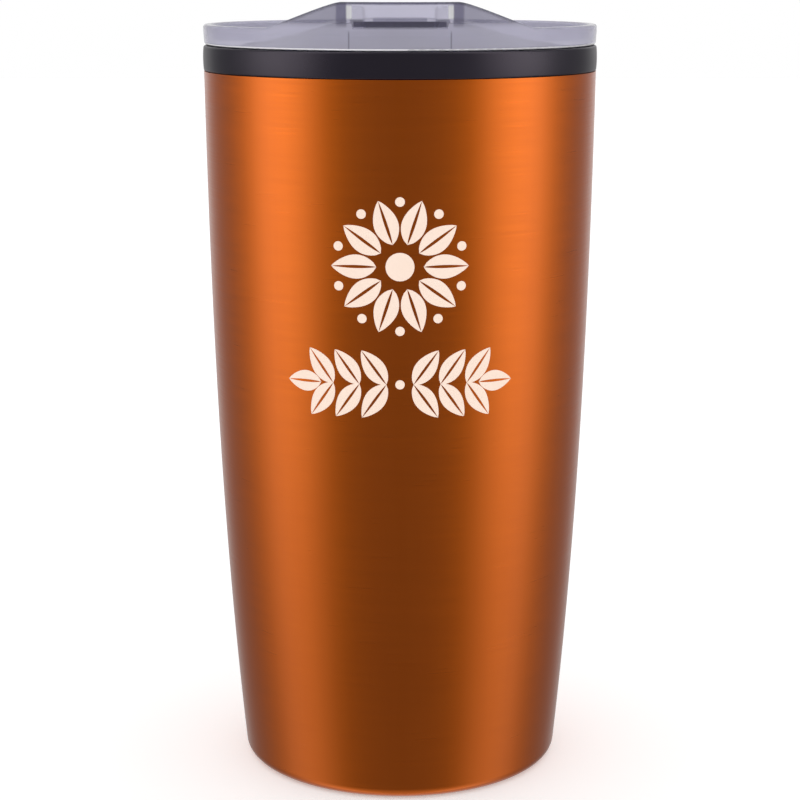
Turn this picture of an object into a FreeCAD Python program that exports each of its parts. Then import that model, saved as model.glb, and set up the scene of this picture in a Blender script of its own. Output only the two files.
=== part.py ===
import FreeCAD, Part
import Sketcher
import os
import re

# Insulated tumbler with a push-on lid that has a sliding stopper.
# Millimetres, +Z up. The origin is the centre of the foot, on the table; the drinking side faces -Y.

vec = FreeCAD.Vector
doc = FreeCAD.newDocument("InsulatedTumbler")

# The driving dimensions. Every sketch, pad and pocket below is bound to these cells.
sizes = [
    # cup: steel outer wall
    ("cupHeight", 165.0),         # table to the top of the collar
    ("shellBaseRadius", 36.35),   # side wall carried down to the table
    ("shellLowRadius", 41.71),    # pull of the side curve at one third of its height
    ("shellHighRadius", 43.26),   # pull of the side curve at two thirds of its height
    ("shellTopRadius", 43.84),    # side wall where it meets the collar, flush with the collar's edge
    ("shellWall", 0.8),
    ("shellCorner", 2.8),         # outside radius of the bottom corner
    ("footWidth", 5.6),           # from the bottom corner to the turned-up edge round the base disc
    ("footLip", 3.2),             # height of that turned-up edge
    ("lipInset", 1.4),            # step in to the neck that the collar covers
    ("lipHeight", 1.4),           # neck above the collar's lower edge
    # cup: base disc
    ("discRecess", 1.4),          # table to the disc's rim
    ("discWall", 0.8),
    ("discDish", 0.7),            # rise of the disc's pressed centre
    ("discDishMargin", 3.4),      # pressed centre inside the ring that the liner stands on
    # cup: plastic liner
    ("mouthInset", 2.54),         # mouth's wall inside the steel neck
    ("mouthSpare", 2.3),          # straight stretch of the mouth below the lid's plug
    ("linerWall", 1.4),
    ("linerGap", 2.4),            # air between liner and steel wall
    ("linerFloor", 1.8),
    ("linerLift", 4.1),           # underside of the liner's floor above the base disc's rim
    ("linerCorner", 6.0),         # inside radius of the bottom corner
    ("linerRingRadius", 21.0),    # ring that the liner stands on
    ("linerRingWall", 1.6),
    ("flangeThickness", 1.8),
    ("sealThickness", 0.8),       # flat ring between the liner's flange and the steel neck
    # cup: collar
    ("collarHeight", 5.6),
    ("collarCrown", 0.16),        # the collar's middle stands out this far from its edges
    ("collarRound", 0.5),
    # lid: rim, spout and tray
    ("lidGap", 0.2),              # lid's flange above the collar
    ("rimHeight", 4.4),           # lid's rim above its flange
    ("rimInset", 0.15),           # rim inside the collar's middle
    ("rimFootInset", 0.2),        # rim's foot inside the rim
    ("rimFlare", 3.0),            # height over which the rim widens from its foot
    ("rimWall", 2.0),
    ("rimRound", 0.6),
    ("spoutRise", 5.4),           # top of the spout above the rim
    ("spoutFlat", 12.0),          # half width of the spout's level top
    ("spoutFoot", 28.0),          # half width of the spout at the rim
    ("spoutFootEase", 1.2),       # easing of the curve at the foot
    ("spoutTopEase", 2.6),        # easing of the curve at the top
    ("deckThickness", 1.6),
    ("deckRise", 4.0),            # raised deck above the tray's floor
    ("deckMargin", 2.4),          # level raised deck behind the slider's stop
    ("deckFall", 9.0),            # length over which it then falls to the tray's floor
    ("ventRadius", 1.2),
    ("ventMargin", 10.0),         # vent hole behind that fall
    # lid: plug
    ("plugClearance", 0.5),
    ("plugWall", 2.6),
    ("plugDepth", 9.5),
    ("grooveDrop", 3.4),          # gasket groove's upper edge below the flange
    ("grooveHeight", 3.4),
    ("grooveDepth", 1.4),
    # lid: gasket
    ("gasketPlay", 0.1),          # between gasket and groove
    ("gasketReach", 0.25),        # gasket's lips short of the mouth's wall
    ("gasketBack", 0.8),          # thickness of the gasket behind its lips
    ("gasketLip", 0.5),           # thickness of a lip at its edge
    # lid: slider track and drink slot
    ("trackHalf", 7.6),           # half width between the rails
    ("railWidth", 2.5),
    ("trackDrop", 1.7),           # track's floor below the raised deck
    ("trackFloor", 1.6),
    ("railFront", 0.8),           # front of the rails below the spout's top
    ("railBack", 2.0),            # back of the rails below the spout's top
    ("trackEnd", 1.8),            # thickness of the stop behind the slider
    ("ductWall", 1.0),            # wall round the drink slot, under the deck
    ("ductDepth", 7.0),
    ("slotHalf", 6.5),            # half width of the drink slot
    ("slotLength", 5.5),
    ("slotInset", 0.9),           # drink slot behind the inside of the plug
    ("slotRound", 1.5),
    # slider
    ("slideTravel", 11.0),
    ("plateLength", 26.0),
    ("plateLead", 2.5),           # plate ahead of the drink slot
    ("plateThickness", 1.5),
    ("plateSide", 0.25),          # clearance beside and behind the plate
    ("plateGap", 0.4),            # plate above the track's floor
    ("plateRound", 1.2),
    ("padLap", 1.4),              # seal pad beyond the drink slot, front and back
    ("padThickness", 1.0),
    ("padGap", 0.2),              # seal pad above the track's floor
    ("padInset", 0.6),            # pad inside the plate's sides
    ("padRound", 2.0),
    ("neckHalf", 1.8),
    ("neckLength", 7.0),
    ("neckBack", 4.6),            # neck ahead of the plate's back edge
    ("neckPlay", 0.25),
    ("clipHalf", 5.5),
    ("clipLap", 2.0),             # clip beyond the neck, front and back
    ("clipThickness", 1.5),
    ("clipGap", 0.3),             # clip under the track's floor
    ("clipRound", 1.5),
    ("thumbHeight", 0.35),
    ("thumbHalf", 5.6),
    ("thumbLength", 4.6),
    ("thumbBack", 2.2),           # thumb ridge ahead of the plate's back edge
    ("thumbRound", 0.15),
    ("gripHeight", 0.35),
    ("gripWidth", 0.8),
    ("gripPitch", 2.0),
    ("gripCount", 4),
]

sheet = doc.addObject("Spreadsheet::Sheet", "Sizes")
for row, (alias, number) in enumerate(sizes, start=1):
    sheet.set(f"A{row}", alias)
    sheet.set(f"B{row}", str(number))
    sheet.setAlias(f"B{row}", alias)
doc.recompute()

# Places that several pieces share, as formulas of the sizes above.
collarBase = "(cupHeight - collarHeight)"
neckRadius = "(shellTopRadius - lipInset)"
neckTop = f"({collarBase} + lipHeight)"
flangeBase = f"({neckTop} + sealThickness)"
flangeTop = f"({flangeBase} + flangeThickness)"
discRadius = "(shellBaseRadius - footWidth)"
discTop = "(discRecess + discWall)"
discDishRadius = "(linerRingRadius - linerRingWall - discDishMargin)"
linerBase = f"({discTop} + linerLift)"
linerFloorTop = f"({linerBase} + linerFloor)"
mouthRadius = f"({neckRadius} - mouthInset)"
linerTopRadius = f"({mouthRadius} + linerWall)"
lidBase = "(cupHeight + lidGap)"
rimRadius = "(shellTopRadius + collarCrown - rimInset)"
rimFootRadius = f"({rimRadius} - rimFootInset)"
rimTop = f"({lidBase} + rimHeight)"
spoutTop = f"({rimTop} + spoutRise)"
trayRadius = f"({rimRadius} - rimWall)"
trayFloor = f"({lidBase} + deckThickness)"
deckTop = f"({trayFloor} + deckRise)"
plugRadius = f"({mouthRadius} - plugClearance)"
plugInside = f"({plugRadius} - plugWall)"
plugBase = f"({lidBase} - plugDepth)"
mouthBase = f"({plugBase} - mouthSpare)"
grooveTop = f"({lidBase} - grooveDrop)"
grooveBase = f"({grooveTop} - grooveHeight)"
grooveRadius = f"({plugRadius} - grooveDepth)"
trackTop = f"({deckTop} - trackDrop)"
trackBase = f"({trackTop} - trackFloor)"
trackWide = "(trackHalf + railWidth)"
slotFront = f"(slotInset - {plugInside})"
slotBack = f"({slotFront} + slotLength)"
plateFront = f"({slotFront} - plateLead)"
plateBack = f"({plateFront} + plateLength)"
plateBase = f"({trackTop} + plateGap)"
plateTop = f"({plateBase} + plateThickness)"
plateHalf = "(trackHalf - plateSide)"
padHalf = f"({plateHalf} - padInset)"
padFront = f"({slotFront} - padLap)"
padBack = f"({slotBack} + padLap)"
padBase = f"({trackTop} + padGap)"
padTop = f"({padBase} + padThickness)"
stopFront = f"({plateBack} + slideTravel + plateSide)"
stopBack = f"({stopFront} + trackEnd)"
deckBack = f"({stopBack} + deckMargin)"
trayStart = f"({deckBack} + deckFall)"
neckRear = f"({plateBack} - neckBack)"
neckFront = f"({neckRear} - neckLength)"
clipTop = f"({trackBase} - clipGap)"
clipBase = f"({clipTop} - clipThickness)"
thumbRear = f"({plateBack} - thumbBack)"
thumbFront = f"({thumbRear} - thumbLength)"
beyond = "(2 * shellTopRadius)"   # past every side of the lid
above = "(2 * cupHeight)"         # past every top
merge = "(0.2 * rimWall)"         # how far a rib is sunk into the wall that carries it


def onSheet(formula):
    """Point every size name of a formula at its cell on the sheet."""
    return re.sub(r"[a-z][A-Za-z]+", r"Sizes.\g<0>", str(formula))


def value(formula):
    return float(sheet.evalExpression(onSheet(formula)))


def newBody(label):
    body = doc.addObject("PartDesign::Body", "Body")
    body.Label = label
    return body


def sketchOn(body, role, height="0"):
    """Start a sketch on one of the body's origin planes, moved along the plane's normal."""
    plane = next(feature for feature in body.Origin.OriginFeatures if feature.Role == role)
    sketch = body.newObject("Sketcher::SketchObject", "Sketch")
    sketch.AttachmentSupport = (plane, [""])
    sketch.MapMode = "FlatFace"
    sketch.setExpression("AttachmentOffset.Base.z", onSheet(height))
    return sketch


def pin(sketch, geometry, point, corner):
    """Hold one point of the sketch at a corner's two formulas."""
    for kind, formula in zip(("DistanceX", "DistanceY"), corner):
        constraint = Sketcher.Constraint(kind, -1, 1, geometry, point, value(formula))
        number = sketch.addConstraint(constraint)
        sketch.setExpression(f"Constraints[{number}]", onSheet(formula))


def outline(sketch, corners):
    """Close an outline through the corners. A corner's third entry, its two pulls, starts a smooth curve."""
    edges = []
    for corner, following in zip(corners, corners[1:] + corners[:1]):
        pulls = corner[2] if len(corner) == 3 else ()
        poles = [vec(value(x), value(y), 0) for x, y in (corner[:2], *pulls, following[:2])]
        if pulls:
            curve = Part.BSplineCurve()
            curve.buildFromPolesMultsKnots(poles, [4, 4], [0, 1], False, 3)
            edge = sketch.addGeometry(curve)
            sketch.exposeInternalGeometry(edge)
            for order, pull in enumerate(pulls, start=2):
                pin(sketch, edge + order, 3, pull)
        else:
            edge = sketch.addGeometry(Part.LineSegment(*poles))
        edges.append(edge)
    for order, edge in enumerate(edges):
        sketch.addConstraint(Sketcher.Constraint("Coincident", edges[order - 1], 2, edge, 1))
        pin(sketch, edge, 1, corners[order][:2])
    return sketch


def rectangle(sketch, half, front, back):
    """A rectangle centred sideways, from front to back along the sketch's second direction."""
    return outline(sketch, [(f"-{half}", front), (half, front), (half, back), (f"-{half}", back)])


def circle(sketch, radius, centre=("0", "0")):
    place = vec(value(centre[0]), value(centre[1]), 0)
    edge = sketch.addGeometry(Part.Circle(place, vec(0, 0, 1), value(radius)))
    pin(sketch, edge, 3, centre)
    number = sketch.addConstraint(Sketcher.Constraint("Radius", edge, value(radius)))
    sketch.setExpression(f"Constraints[{number}]", onSheet(radius))
    return sketch


def revolve(body, sketch):
    feature = body.newObject("PartDesign::Revolution", "Revolution")
    feature.Profile = sketch
    feature.ReferenceAxis = (sketch, ["V_Axis"])
    feature.Angle = 360
    doc.recompute()
    return feature


def extrude(body, kind, sketch, length, both=False, reverse=False):
    """Pad or pocket a sketch, and stop if the body's volume doesn't change the right way."""
    before = body.Tip.Shape.Volume if body.Tip else 0
    feature = body.newObject(f"PartDesign::{kind}", kind)
    feature.Profile = sketch
    feature.SideType = "Symmetric" if both else "One side"
    feature.Reversed = reverse
    feature.setExpression("Length", onSheet(length))
    doc.recompute()
    change = feature.Shape.Volume - before
    if change * (1 if kind == "Pad" else -1) <= 0:
        raise RuntimeError(f"{body.Label}: {feature.Name} changes nothing")
    return feature


def trim(body, radius):
    """Cut away everything outside a cylinder about the tumbler's axis."""
    sketch = circle(circle(sketchOn(body, "XY_Plane"), radius), f"2 * {beyond}")
    return extrude(body, "Pocket", sketch, f"2 * {above}", both=True)


def combine(body, kind, tools):
    feature = body.newObject("PartDesign::Boolean", "Boolean")
    feature.setObjects(tools)
    feature.Type = kind
    doc.recompute()
    return feature


def ringEdges(shape, rings):
    """Names of the edges round the tumbler's axis that lie at the given radii and heights."""
    places = [(value(radius), value(height)) for radius, height in rings]
    names = []
    for order, edge in enumerate(shape.Edges, start=1):
        points = [edge.valueAt(edge.FirstParameter + share * (edge.LastParameter - edge.FirstParameter))
                  for share in (0, 0.3, 0.6)]
        spots = [(point.x ** 2 + point.y ** 2) ** 0.5 for point in points]
        for radius, height in places:
            level = max(abs(point.z - height) for point in points) < 1e-4
            if level and max(abs(spot - radius) for spot in spots) < 1e-4:
                names.append(f"Edge{order}")
    return names


def crestEdges(shape, radii):
    """Names of the edges along the top of a round wall: those at its radii with nothing above either side."""
    radii = [value(radius) for radius in radii]
    aside = value(merge)
    names = []
    for order, edge in enumerate(shape.Edges, start=1):
        first, last = edge.ParameterRange
        points = [edge.valueAt(first + share * (last - first)) for share in (0.1, 0.5, 0.9)]
        spots = [(point.x ** 2 + point.y ** 2) ** 0.5 for point in points]
        if not any(max(abs(spot - radius) for spot in spots) < 1e-3 for radius in radii):
            continue
        outward = vec(points[1].x, points[1].y, 0).normalize()
        probes = [points[1] + outward * side + vec(0, 0, aside) for side in (-aside, aside)]
        if not any(shape.isInside(probe, 1e-4, False) for probe in probes):
            names.append(f"Edge{order}")
    return names


def cornerEdges(shape, half, front, back):
    """Names of the upright edges at the corners of a rectangle that is centred sideways."""
    corners = [vec(side * value(half), value(end), 0) for side in (-1, 1) for end in (front, back)]
    names = []
    for order, edge in enumerate(shape.Edges, start=1):
        ends = [vec(vertex.X, vertex.Y, 0) for vertex in edge.Vertexes]
        if any(len(ends) == 2 and max((end - corner).Length for end in ends) < 1e-4 for corner in corners):
            names.append(f"Edge{order}")
    return names


def dress(body, kind, names, size):
    """Round or chamfer the named edges of the body's last feature."""
    base = body.Tip
    feature = body.newObject(f"PartDesign::{kind}", kind)
    feature.Base = (base, names)
    feature.setExpression("Radius" if kind == "Fillet" else "Size", onSheet(size))
    doc.recompute()
    return feature


def outerShell():
    """Drawn steel wall: tapered side, neck under the collar, and a foot turned up round the base disc."""
    third = f"{collarBase} / 3"
    inside = [f"({radius} - shellWall)" for radius in
              ("shellBaseRadius", "shellLowRadius", "shellHighRadius", "shellTopRadius", neckRadius)]
    body = newBody("outer_shell")
    revolve(body, outline(sketchOn(body, "XZ_Plane"), [
        ("shellBaseRadius", "0", [("shellLowRadius", third), ("shellHighRadius", f"2 * {third}")]),
        ("shellTopRadius", collarBase),
        (neckRadius, collarBase),
        (neckRadius, neckTop),
        (inside[4], neckTop),
        (inside[4], f"{collarBase} - shellWall"),
        (inside[3], f"{collarBase} - shellWall", [(inside[2], f"2 * {third}"), (inside[1], third)]),
        (inside[0], "shellWall"),
        (f"{discRadius} + shellWall", "shellWall"),
        (f"{discRadius} + shellWall", "footLip"),
        (discRadius, "footLip"),
        (discRadius, "0"),
    ]))
    dress(body, "Fillet", ringEdges(body.Tip.Shape, [("shellBaseRadius", "0")]), "shellCorner")
    corner = ringEdges(body.Tip.Shape, [(inside[0], "shellWall")])
    dress(body, "Fillet", corner, "shellCorner - shellWall")
    dress(body, "Fillet", ringEdges(body.Tip.Shape, [(discRadius, "0")]), "shellWall / 2")


def baseDisc():
    """Pressed steel disc that closes the bottom inside the foot."""
    body = newBody("base_disc")
    slope = f"({discDishRadius} + 2 * discWall)"
    revolve(body, outline(sketchOn(body, "XZ_Plane"), [
        ("0", "discRecess + discDish"),
        (discDishRadius, "discRecess + discDish"),
        (slope, "discRecess"),
        (discRadius, "discRecess"),
        (discRadius, discTop),
        (slope, discTop),
        (discDishRadius, f"{discTop} + discDish"),
        ("0", f"{discTop} + discDish"),
    ]))


def innerLiner():
    """Plastic cup inside the steel wall, standing on the base disc and held by its flange."""
    body = newBody("inner_liner")
    third = f"{collarBase} / 3"
    lowOutside = "(shellLowRadius - shellWall - linerGap)"
    baseOutside = "(shellBaseRadius - shellWall - linerGap)"
    revolve(body, outline(sketchOn(body, "XZ_Plane"), [
        ("0", linerBase),
        ("linerRingRadius - linerRingWall", linerBase),
        ("linerRingRadius - linerRingWall", discTop),
        ("linerRingRadius", discTop),
        ("linerRingRadius", linerBase),
        (baseOutside, linerBase, [(lowOutside, third), (linerTopRadius, f"2 * {third}")]),
        (linerTopRadius, mouthBase),
        (linerTopRadius, flangeBase),
        (neckRadius, flangeBase),
        (neckRadius, flangeTop),
        (mouthRadius, flangeTop),
        (mouthRadius, mouthBase, [(mouthRadius, f"2 * {third}"), (f"{lowOutside} - linerWall", third)]),
        (f"{baseOutside} - linerWall", linerFloorTop),
        ("0", linerFloorTop),
    ]))
    inside = ringEdges(body.Tip.Shape, [(f"{baseOutside} - linerWall", linerFloorTop)])
    dress(body, "Fillet", inside, "linerCorner")
    dress(body, "Fillet", ringEdges(body.Tip.Shape, [(baseOutside, linerBase)]), "linerCorner + linerWall")


def linerSeal():
    """Flat silicone ring that keeps water out of the wall."""
    body = newBody("liner_seal")
    revolve(body, outline(sketchOn(body, "XZ_Plane"), [
        (linerTopRadius, neckTop),
        (neckRadius, neckTop),
        (neckRadius, flangeBase),
        (linerTopRadius, flangeBase),
    ]))


def rimCollar():
    """Plastic band that clamps the liner's flange on the neck, with a slightly crowned outside."""
    body = newBody("rim_collar")
    edge = "shellTopRadius"
    pull = "(shellTopRadius + collarCrown * 4 / 3)"
    revolve(body, outline(sketchOn(body, "XZ_Plane"), [
        (neckRadius, collarBase),
        (edge, collarBase, [(pull, f"{collarBase} + collarHeight / 3"), (pull, "cupHeight - collarHeight / 3")]),
        (edge, "cupHeight"),
        (mouthRadius, "cupHeight"),
        (mouthRadius, flangeTop),
        (neckRadius, flangeTop),
    ]))
    corners = [(edge, collarBase), (edge, "cupHeight"), (mouthRadius, "cupHeight")]
    dress(body, "Fillet", ringEdges(body.Tip.Shape, corners), "collarRound")


def spoutOutline(sketch, low, high, edge):
    """The region between the spout's curve, seen from the front, and a level edge above or below it."""
    foot = [(f"{side}spoutFoot", low) for side in ("-", "")]
    flat = [(f"{side}spoutFlat", high) for side in ("-", "")]
    rise = [("spoutFootEase - spoutFoot", low), ("-spoutFlat - spoutTopEase", high)]
    fall = [("spoutFlat + spoutTopEase", high), ("spoutFoot - spoutFootEase", low)]
    return outline(sketch, [
        (f"-{beyond}", low),
        (*foot[0], rise),
        flat[0],
        (*flat[1], fall),
        foot[1],
        (beyond, low),
        (beyond, edge),
        (f"-{beyond}", edge),
    ])


def fallOutline(sketch, low, high, edge):
    """The same region seen from the side, where the raised deck falls to the tray's floor."""
    middle = f"({deckBack} + deckFall / 2)"
    return outline(sketch, [
        (f"-{beyond}", high),
        (deckBack, high, [(middle, high), (middle, low)]),
        (trayStart, low),
        (beyond, low),
        (beyond, edge),
        (f"-{beyond}", edge),
    ])


def traySpace():
    """Everything that is open above the tray and the raised deck."""
    body = newBody("tray_space")
    spout = spoutOutline(sketchOn(body, "XZ_Plane"), trayFloor, deckTop, above)
    extrude(body, "Pad", spout, f"2 * {beyond}", both=True)
    fall = fallOutline(sketchOn(body, "YZ_Plane"), trayFloor, deckTop, above)
    extrude(body, "Pad", fall, f"2 * {beyond}", both=True)
    track = rectangle(sketchOn(body, "XY_Plane", trackBase), "(trackHalf + railWidth / 2)", f"-{beyond}",
                      f"({stopBack} - trackEnd / 2)")
    extrude(body, "Pad", track, "cupHeight")
    trim(body, trayRadius)
    return body


def underSpace():
    """Everything that is open under the deck, inside the plug."""
    body = newBody("under_space")
    low = lidBase
    high = f"({deckTop} - deckThickness)"
    bottom = f"({plugBase} - plugDepth)"
    spout = spoutOutline(sketchOn(body, "XZ_Plane"), low, high, bottom)
    extrude(body, "Pad", spout, f"2 * {beyond}", both=True)
    fall = fallOutline(sketchOn(body, "YZ_Plane"), low, high, above)
    extrude(body, "Pocket", fall, f"2 * {beyond}", both=True)
    trim(body, plugInside)
    return body


def sliderTrack():
    """Track floor, rails and stop for the slider, with the duct that leads to the drink slot."""
    body = newBody("track")
    duct = rectangle(sketchOn(body, "XY_Plane", trackBase), trackWide, f"-{beyond}", f"{slotBack} + ductWall")
    extrude(body, "Pad", duct, "ductDepth", reverse=True)
    hollow = rectangle(sketchOn(body, "XY_Plane", trackBase), f"({trackWide} - ductWall)", f"-{beyond}", slotBack)
    extrude(body, "Pocket", hollow, "ductDepth")
    trim(body, f"{plugInside} + {merge}")
    rails = outline(sketchOn(body, "YZ_Plane"), [
        (f"-{trayRadius} - {merge}", trackBase),
        (stopBack, trackBase),
        (stopBack, f"{spoutTop} - railBack"),
        (f"-{trayRadius} - {merge}", f"{spoutTop} - railFront"),
    ])
    extrude(body, "Pad", rails, f"2 * {trackWide}", both=True)
    channel = rectangle(sketchOn(body, "XY_Plane", trackTop), "trackHalf", f"-{beyond}", stopFront)
    extrude(body, "Pocket", channel, "cupHeight", reverse=True)
    overStop = rectangle(sketchOn(body, "XY_Plane", deckTop), "trackHalf", f"-{beyond}", beyond)
    extrude(body, "Pocket", overStop, "cupHeight", reverse=True)
    trim(body, f"{trayRadius} + {merge}")
    slot = rectangle(sketchOn(body, "XY_Plane", trackTop), "slotHalf", slotFront, slotBack)
    extrude(body, "Pocket", slot, "trackFloor")
    dress(body, "Fillet", cornerEdges(body.Tip.Shape, "slotHalf", slotFront, slotBack), "slotRound")
    guide = rectangle(sketchOn(body, "XY_Plane", trackTop), "(neckHalf + neckPlay)", f"{neckFront} - neckPlay",
                      f"{neckRear} + slideTravel + neckPlay")
    extrude(body, "Pocket", guide, "trackFloor")
    return body


def lidShell():
    """Clear lid: plug with a gasket groove, flange, rim with a raised spout, tray, and the slider's track."""
    body = newBody("lid_shell")
    revolve(body, outline(sketchOn(body, "XZ_Plane"), [
        ("0", plugBase),
        (plugRadius, plugBase),
        (plugRadius, grooveBase),
        (grooveRadius, grooveBase),
        (grooveRadius, grooveTop),
        (plugRadius, grooveTop),
        (plugRadius, lidBase),
        (rimFootRadius, lidBase),
        (rimRadius, f"{lidBase} + rimFlare"),
        (rimRadius, spoutTop),
        ("0", spoutTop),
    ]))
    dress(body, "Chamfer", ringEdges(body.Tip.Shape, [(plugRadius, plugBase)]), "plugClearance")
    dress(body, "Fillet", ringEdges(body.Tip.Shape, [(rimFootRadius, lidBase)]), "rimRound")
    front = spoutOutline(sketchOn(body, "XZ_Plane", f"-{trayStart}"), rimTop, spoutTop, above)
    extrude(body, "Pocket", front, f"2 * {beyond}", reverse=True)
    behind = outline(sketchOn(body, "XZ_Plane", f"-{trayStart}"), [
        (f"-{beyond}", rimTop), (beyond, rimTop), (beyond, above), (f"-{beyond}", above)])
    extrude(body, "Pocket", behind, beyond)
    combine(body, "Cut", [traySpace(), underSpace()])
    dress(body, "Fillet", crestEdges(body.Tip.Shape, (rimRadius, trayRadius)), "rimRound")
    combine(body, "Fuse", [sliderTrack()])
    vent = circle(sketchOn(body, "XY_Plane", trayFloor), "ventRadius", ("0", f"{trayStart} + ventMargin"))
    extrude(body, "Pocket", vent, "deckThickness")
    return body


def lidGasket():
    """Silicone ring in the plug's groove, with two lips towards the mouth's wall."""
    body = newBody("lid_gasket")
    inner = f"({grooveRadius} + gasketPlay)"
    back = f"({inner} + gasketBack)"
    reach = f"({mouthRadius} - gasketReach)"
    bottom = f"({grooveBase} + gasketPlay)"
    top = f"({grooveTop} - gasketPlay)"
    revolve(body, outline(sketchOn(body, "XZ_Plane"), [
        (inner, bottom),
        (back, bottom),
        (reach, f"{bottom} + gasketLip"),
        (reach, f"{bottom} + 2 * gasketLip"),
        (back, f"{bottom} + 3 * gasketLip"),
        (back, f"{top} - 2 * gasketLip"),
        (reach, f"{top} - gasketLip"),
        (reach, top),
        (inner, top),
    ]))


def slideTab():
    """Slider plate with a thumb ridge and grip ribs, a recess for its seal, and a neck through the deck."""
    body = newBody("slide_tab")
    plate = rectangle(sketchOn(body, "XY_Plane", plateBase), plateHalf, plateFront, plateBack)
    extrude(body, "Pad", plate, "plateThickness")
    dress(body, "Fillet", cornerEdges(body.Tip.Shape, plateHalf, plateFront, plateBack), "plateRound")
    recess = rectangle(sketchOn(body, "XY_Plane", plateBase), padHalf, padFront, padBack)
    extrude(body, "Pocket", recess, f"{padTop} - {plateBase}", reverse=True)
    dress(body, "Fillet", cornerEdges(body.Tip.Shape, padHalf, padFront, padBack), "padRound")
    neck = rectangle(sketchOn(body, "XY_Plane", plateBase), "neckHalf", neckFront, neckRear)
    extrude(body, "Pad", neck, f"{plateBase} - {clipBase}", reverse=True)
    thumb = outline(sketchOn(body, "YZ_Plane"), [
        (thumbFront, plateTop),
        (thumbRear, plateTop),
        (f"{thumbRear} - thumbLength / 6", f"{plateTop} + thumbHeight"),
        (f"{thumbFront} + thumbLength / 3", f"{plateTop} + thumbHeight"),
    ])
    extrude(body, "Pad", thumb, "2 * thumbHalf", both=True)
    crest = value(plateTop) + value("thumbHeight")
    top = [f"Edge{order}" for order, edge in enumerate(body.Tip.Shape.Edges, start=1)
           if min(vertex.Z for vertex in edge.Vertexes) > crest - 1e-4]
    dress(body, "Fillet", top, "thumbRound")
    grip = rectangle(sketchOn(body, "XY_Plane", plateTop), "thumbHalf", f"{thumbFront} - gripPitch - gripWidth",
                     f"{thumbFront} - gripPitch")
    rib = extrude(body, "Pad", grip, "gripHeight")
    pattern = body.newObject("PartDesign::LinearPattern", "LinearPattern")
    pattern.Originals = [rib]
    pattern.Direction = (grip, ["V_Axis"])
    pattern.Reversed = True
    pattern.setExpression("Length", onSheet("gripPitch * (gripCount - 1)"))
    pattern.setExpression("Occurrences", onSheet("gripCount"))
    body.Tip = pattern


def slideSeal():
    """Silicone pad under the slider that closes the drink slot."""
    body = newBody("slide_seal")
    pad = rectangle(sketchOn(body, "XY_Plane", padBase), padHalf, padFront, padBack)
    extrude(body, "Pad", pad, "padThickness")
    dress(body, "Fillet", cornerEdges(body.Tip.Shape, padHalf, padFront, padBack), "padRound")


def slideClip():
    """Plate on the neck's end, under the deck, that keeps the slider in its track."""
    body = newBody("slide_clip")
    front, back = f"({neckFront} - clipLap)", f"({neckRear} + clipLap)"
    clip = rectangle(sketchOn(body, "XY_Plane", clipBase), "clipHalf", front, back)
    rectangle(clip, "neckHalf", neckFront, neckRear)
    extrude(body, "Pad", clip, "clipThickness")
    dress(body, "Fillet", cornerEdges(body.Tip.Shape, "clipHalf", front, back), "clipRound")


outerShell()
baseDisc()
innerLiner()
linerSeal()
rimCollar()
lidShell()
lidGasket()
slideTab()
slideSeal()
slideClip()
doc.recompute()

tools = ("tray_space", "under_space", "track")
pieces = [body for body in doc.findObjects("PartDesign::Body") if body.Label not in tools]

for item in doc.Objects:
    if {"Invalid", "Error"} & set(item.State):
        raise RuntimeError(f"{item.Label} did not recompute: {item.State}")
for piece in pieces:
    if piece.Shape.isNull() or not piece.Shape.isValid() or len(piece.Shape.Solids) != 1:
        raise RuntimeError(f"{piece.Label} has no valid single solid")

os.makedirs("parts", exist_ok=True)
for piece in pieces:
    piece.Shape.exportStep(f"parts/{piece.Label}.step")
    print(f"{piece.Label}: {piece.Shape.Volume / 1000:.2f} cm3")
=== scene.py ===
import bmesh
import bpy
import math
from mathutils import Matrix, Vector


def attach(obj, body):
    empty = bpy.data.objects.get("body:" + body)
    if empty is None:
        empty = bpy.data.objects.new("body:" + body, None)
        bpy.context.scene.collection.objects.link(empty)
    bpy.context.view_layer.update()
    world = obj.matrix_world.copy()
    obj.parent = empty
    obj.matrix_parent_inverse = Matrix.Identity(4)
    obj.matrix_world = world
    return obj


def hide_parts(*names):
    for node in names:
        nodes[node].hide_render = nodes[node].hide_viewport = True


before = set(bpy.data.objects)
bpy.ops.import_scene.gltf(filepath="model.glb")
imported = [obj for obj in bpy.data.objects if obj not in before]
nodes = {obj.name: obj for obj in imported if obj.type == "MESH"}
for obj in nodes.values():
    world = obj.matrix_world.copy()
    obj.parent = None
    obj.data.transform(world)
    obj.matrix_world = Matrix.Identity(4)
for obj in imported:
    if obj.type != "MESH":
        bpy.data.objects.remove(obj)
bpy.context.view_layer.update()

mm = 0.001
sharpEdge = 35      # degrees; a turned piece is smooth across softer edges


# Small helpers for node trees.

def addNode(tree, kind, **settings):
    node = tree.nodes.new(kind)
    for name, value in settings.items():
        setattr(node, name, value)
    return node


def feed(tree, socket, value):
    # a socket's own value, or a link from another node's output
    if isinstance(value, bpy.types.NodeSocket):
        tree.links.new(value, socket)
    else:
        socket.default_value = value


def calc(tree, operation, *values):
    node = addNode(tree, "ShaderNodeMath", operation=operation)
    for socket, value in zip(node.inputs, values):
        feed(tree, socket, value)
    return node.outputs[0]


def ease(tree, value, start, end, low=0.0, high=1.0):
    # a smooth step from low to high as value goes from start to end
    node = addNode(tree, "ShaderNodeMapRange", interpolation_type="SMOOTHSTEP")
    names = ("Value", "From Min", "From Max", "To Min", "To Max")
    for name, setting in zip(names, (value, start, end, low, high)):
        feed(tree, node.inputs[name], setting)
    return node.outputs["Result"]


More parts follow.
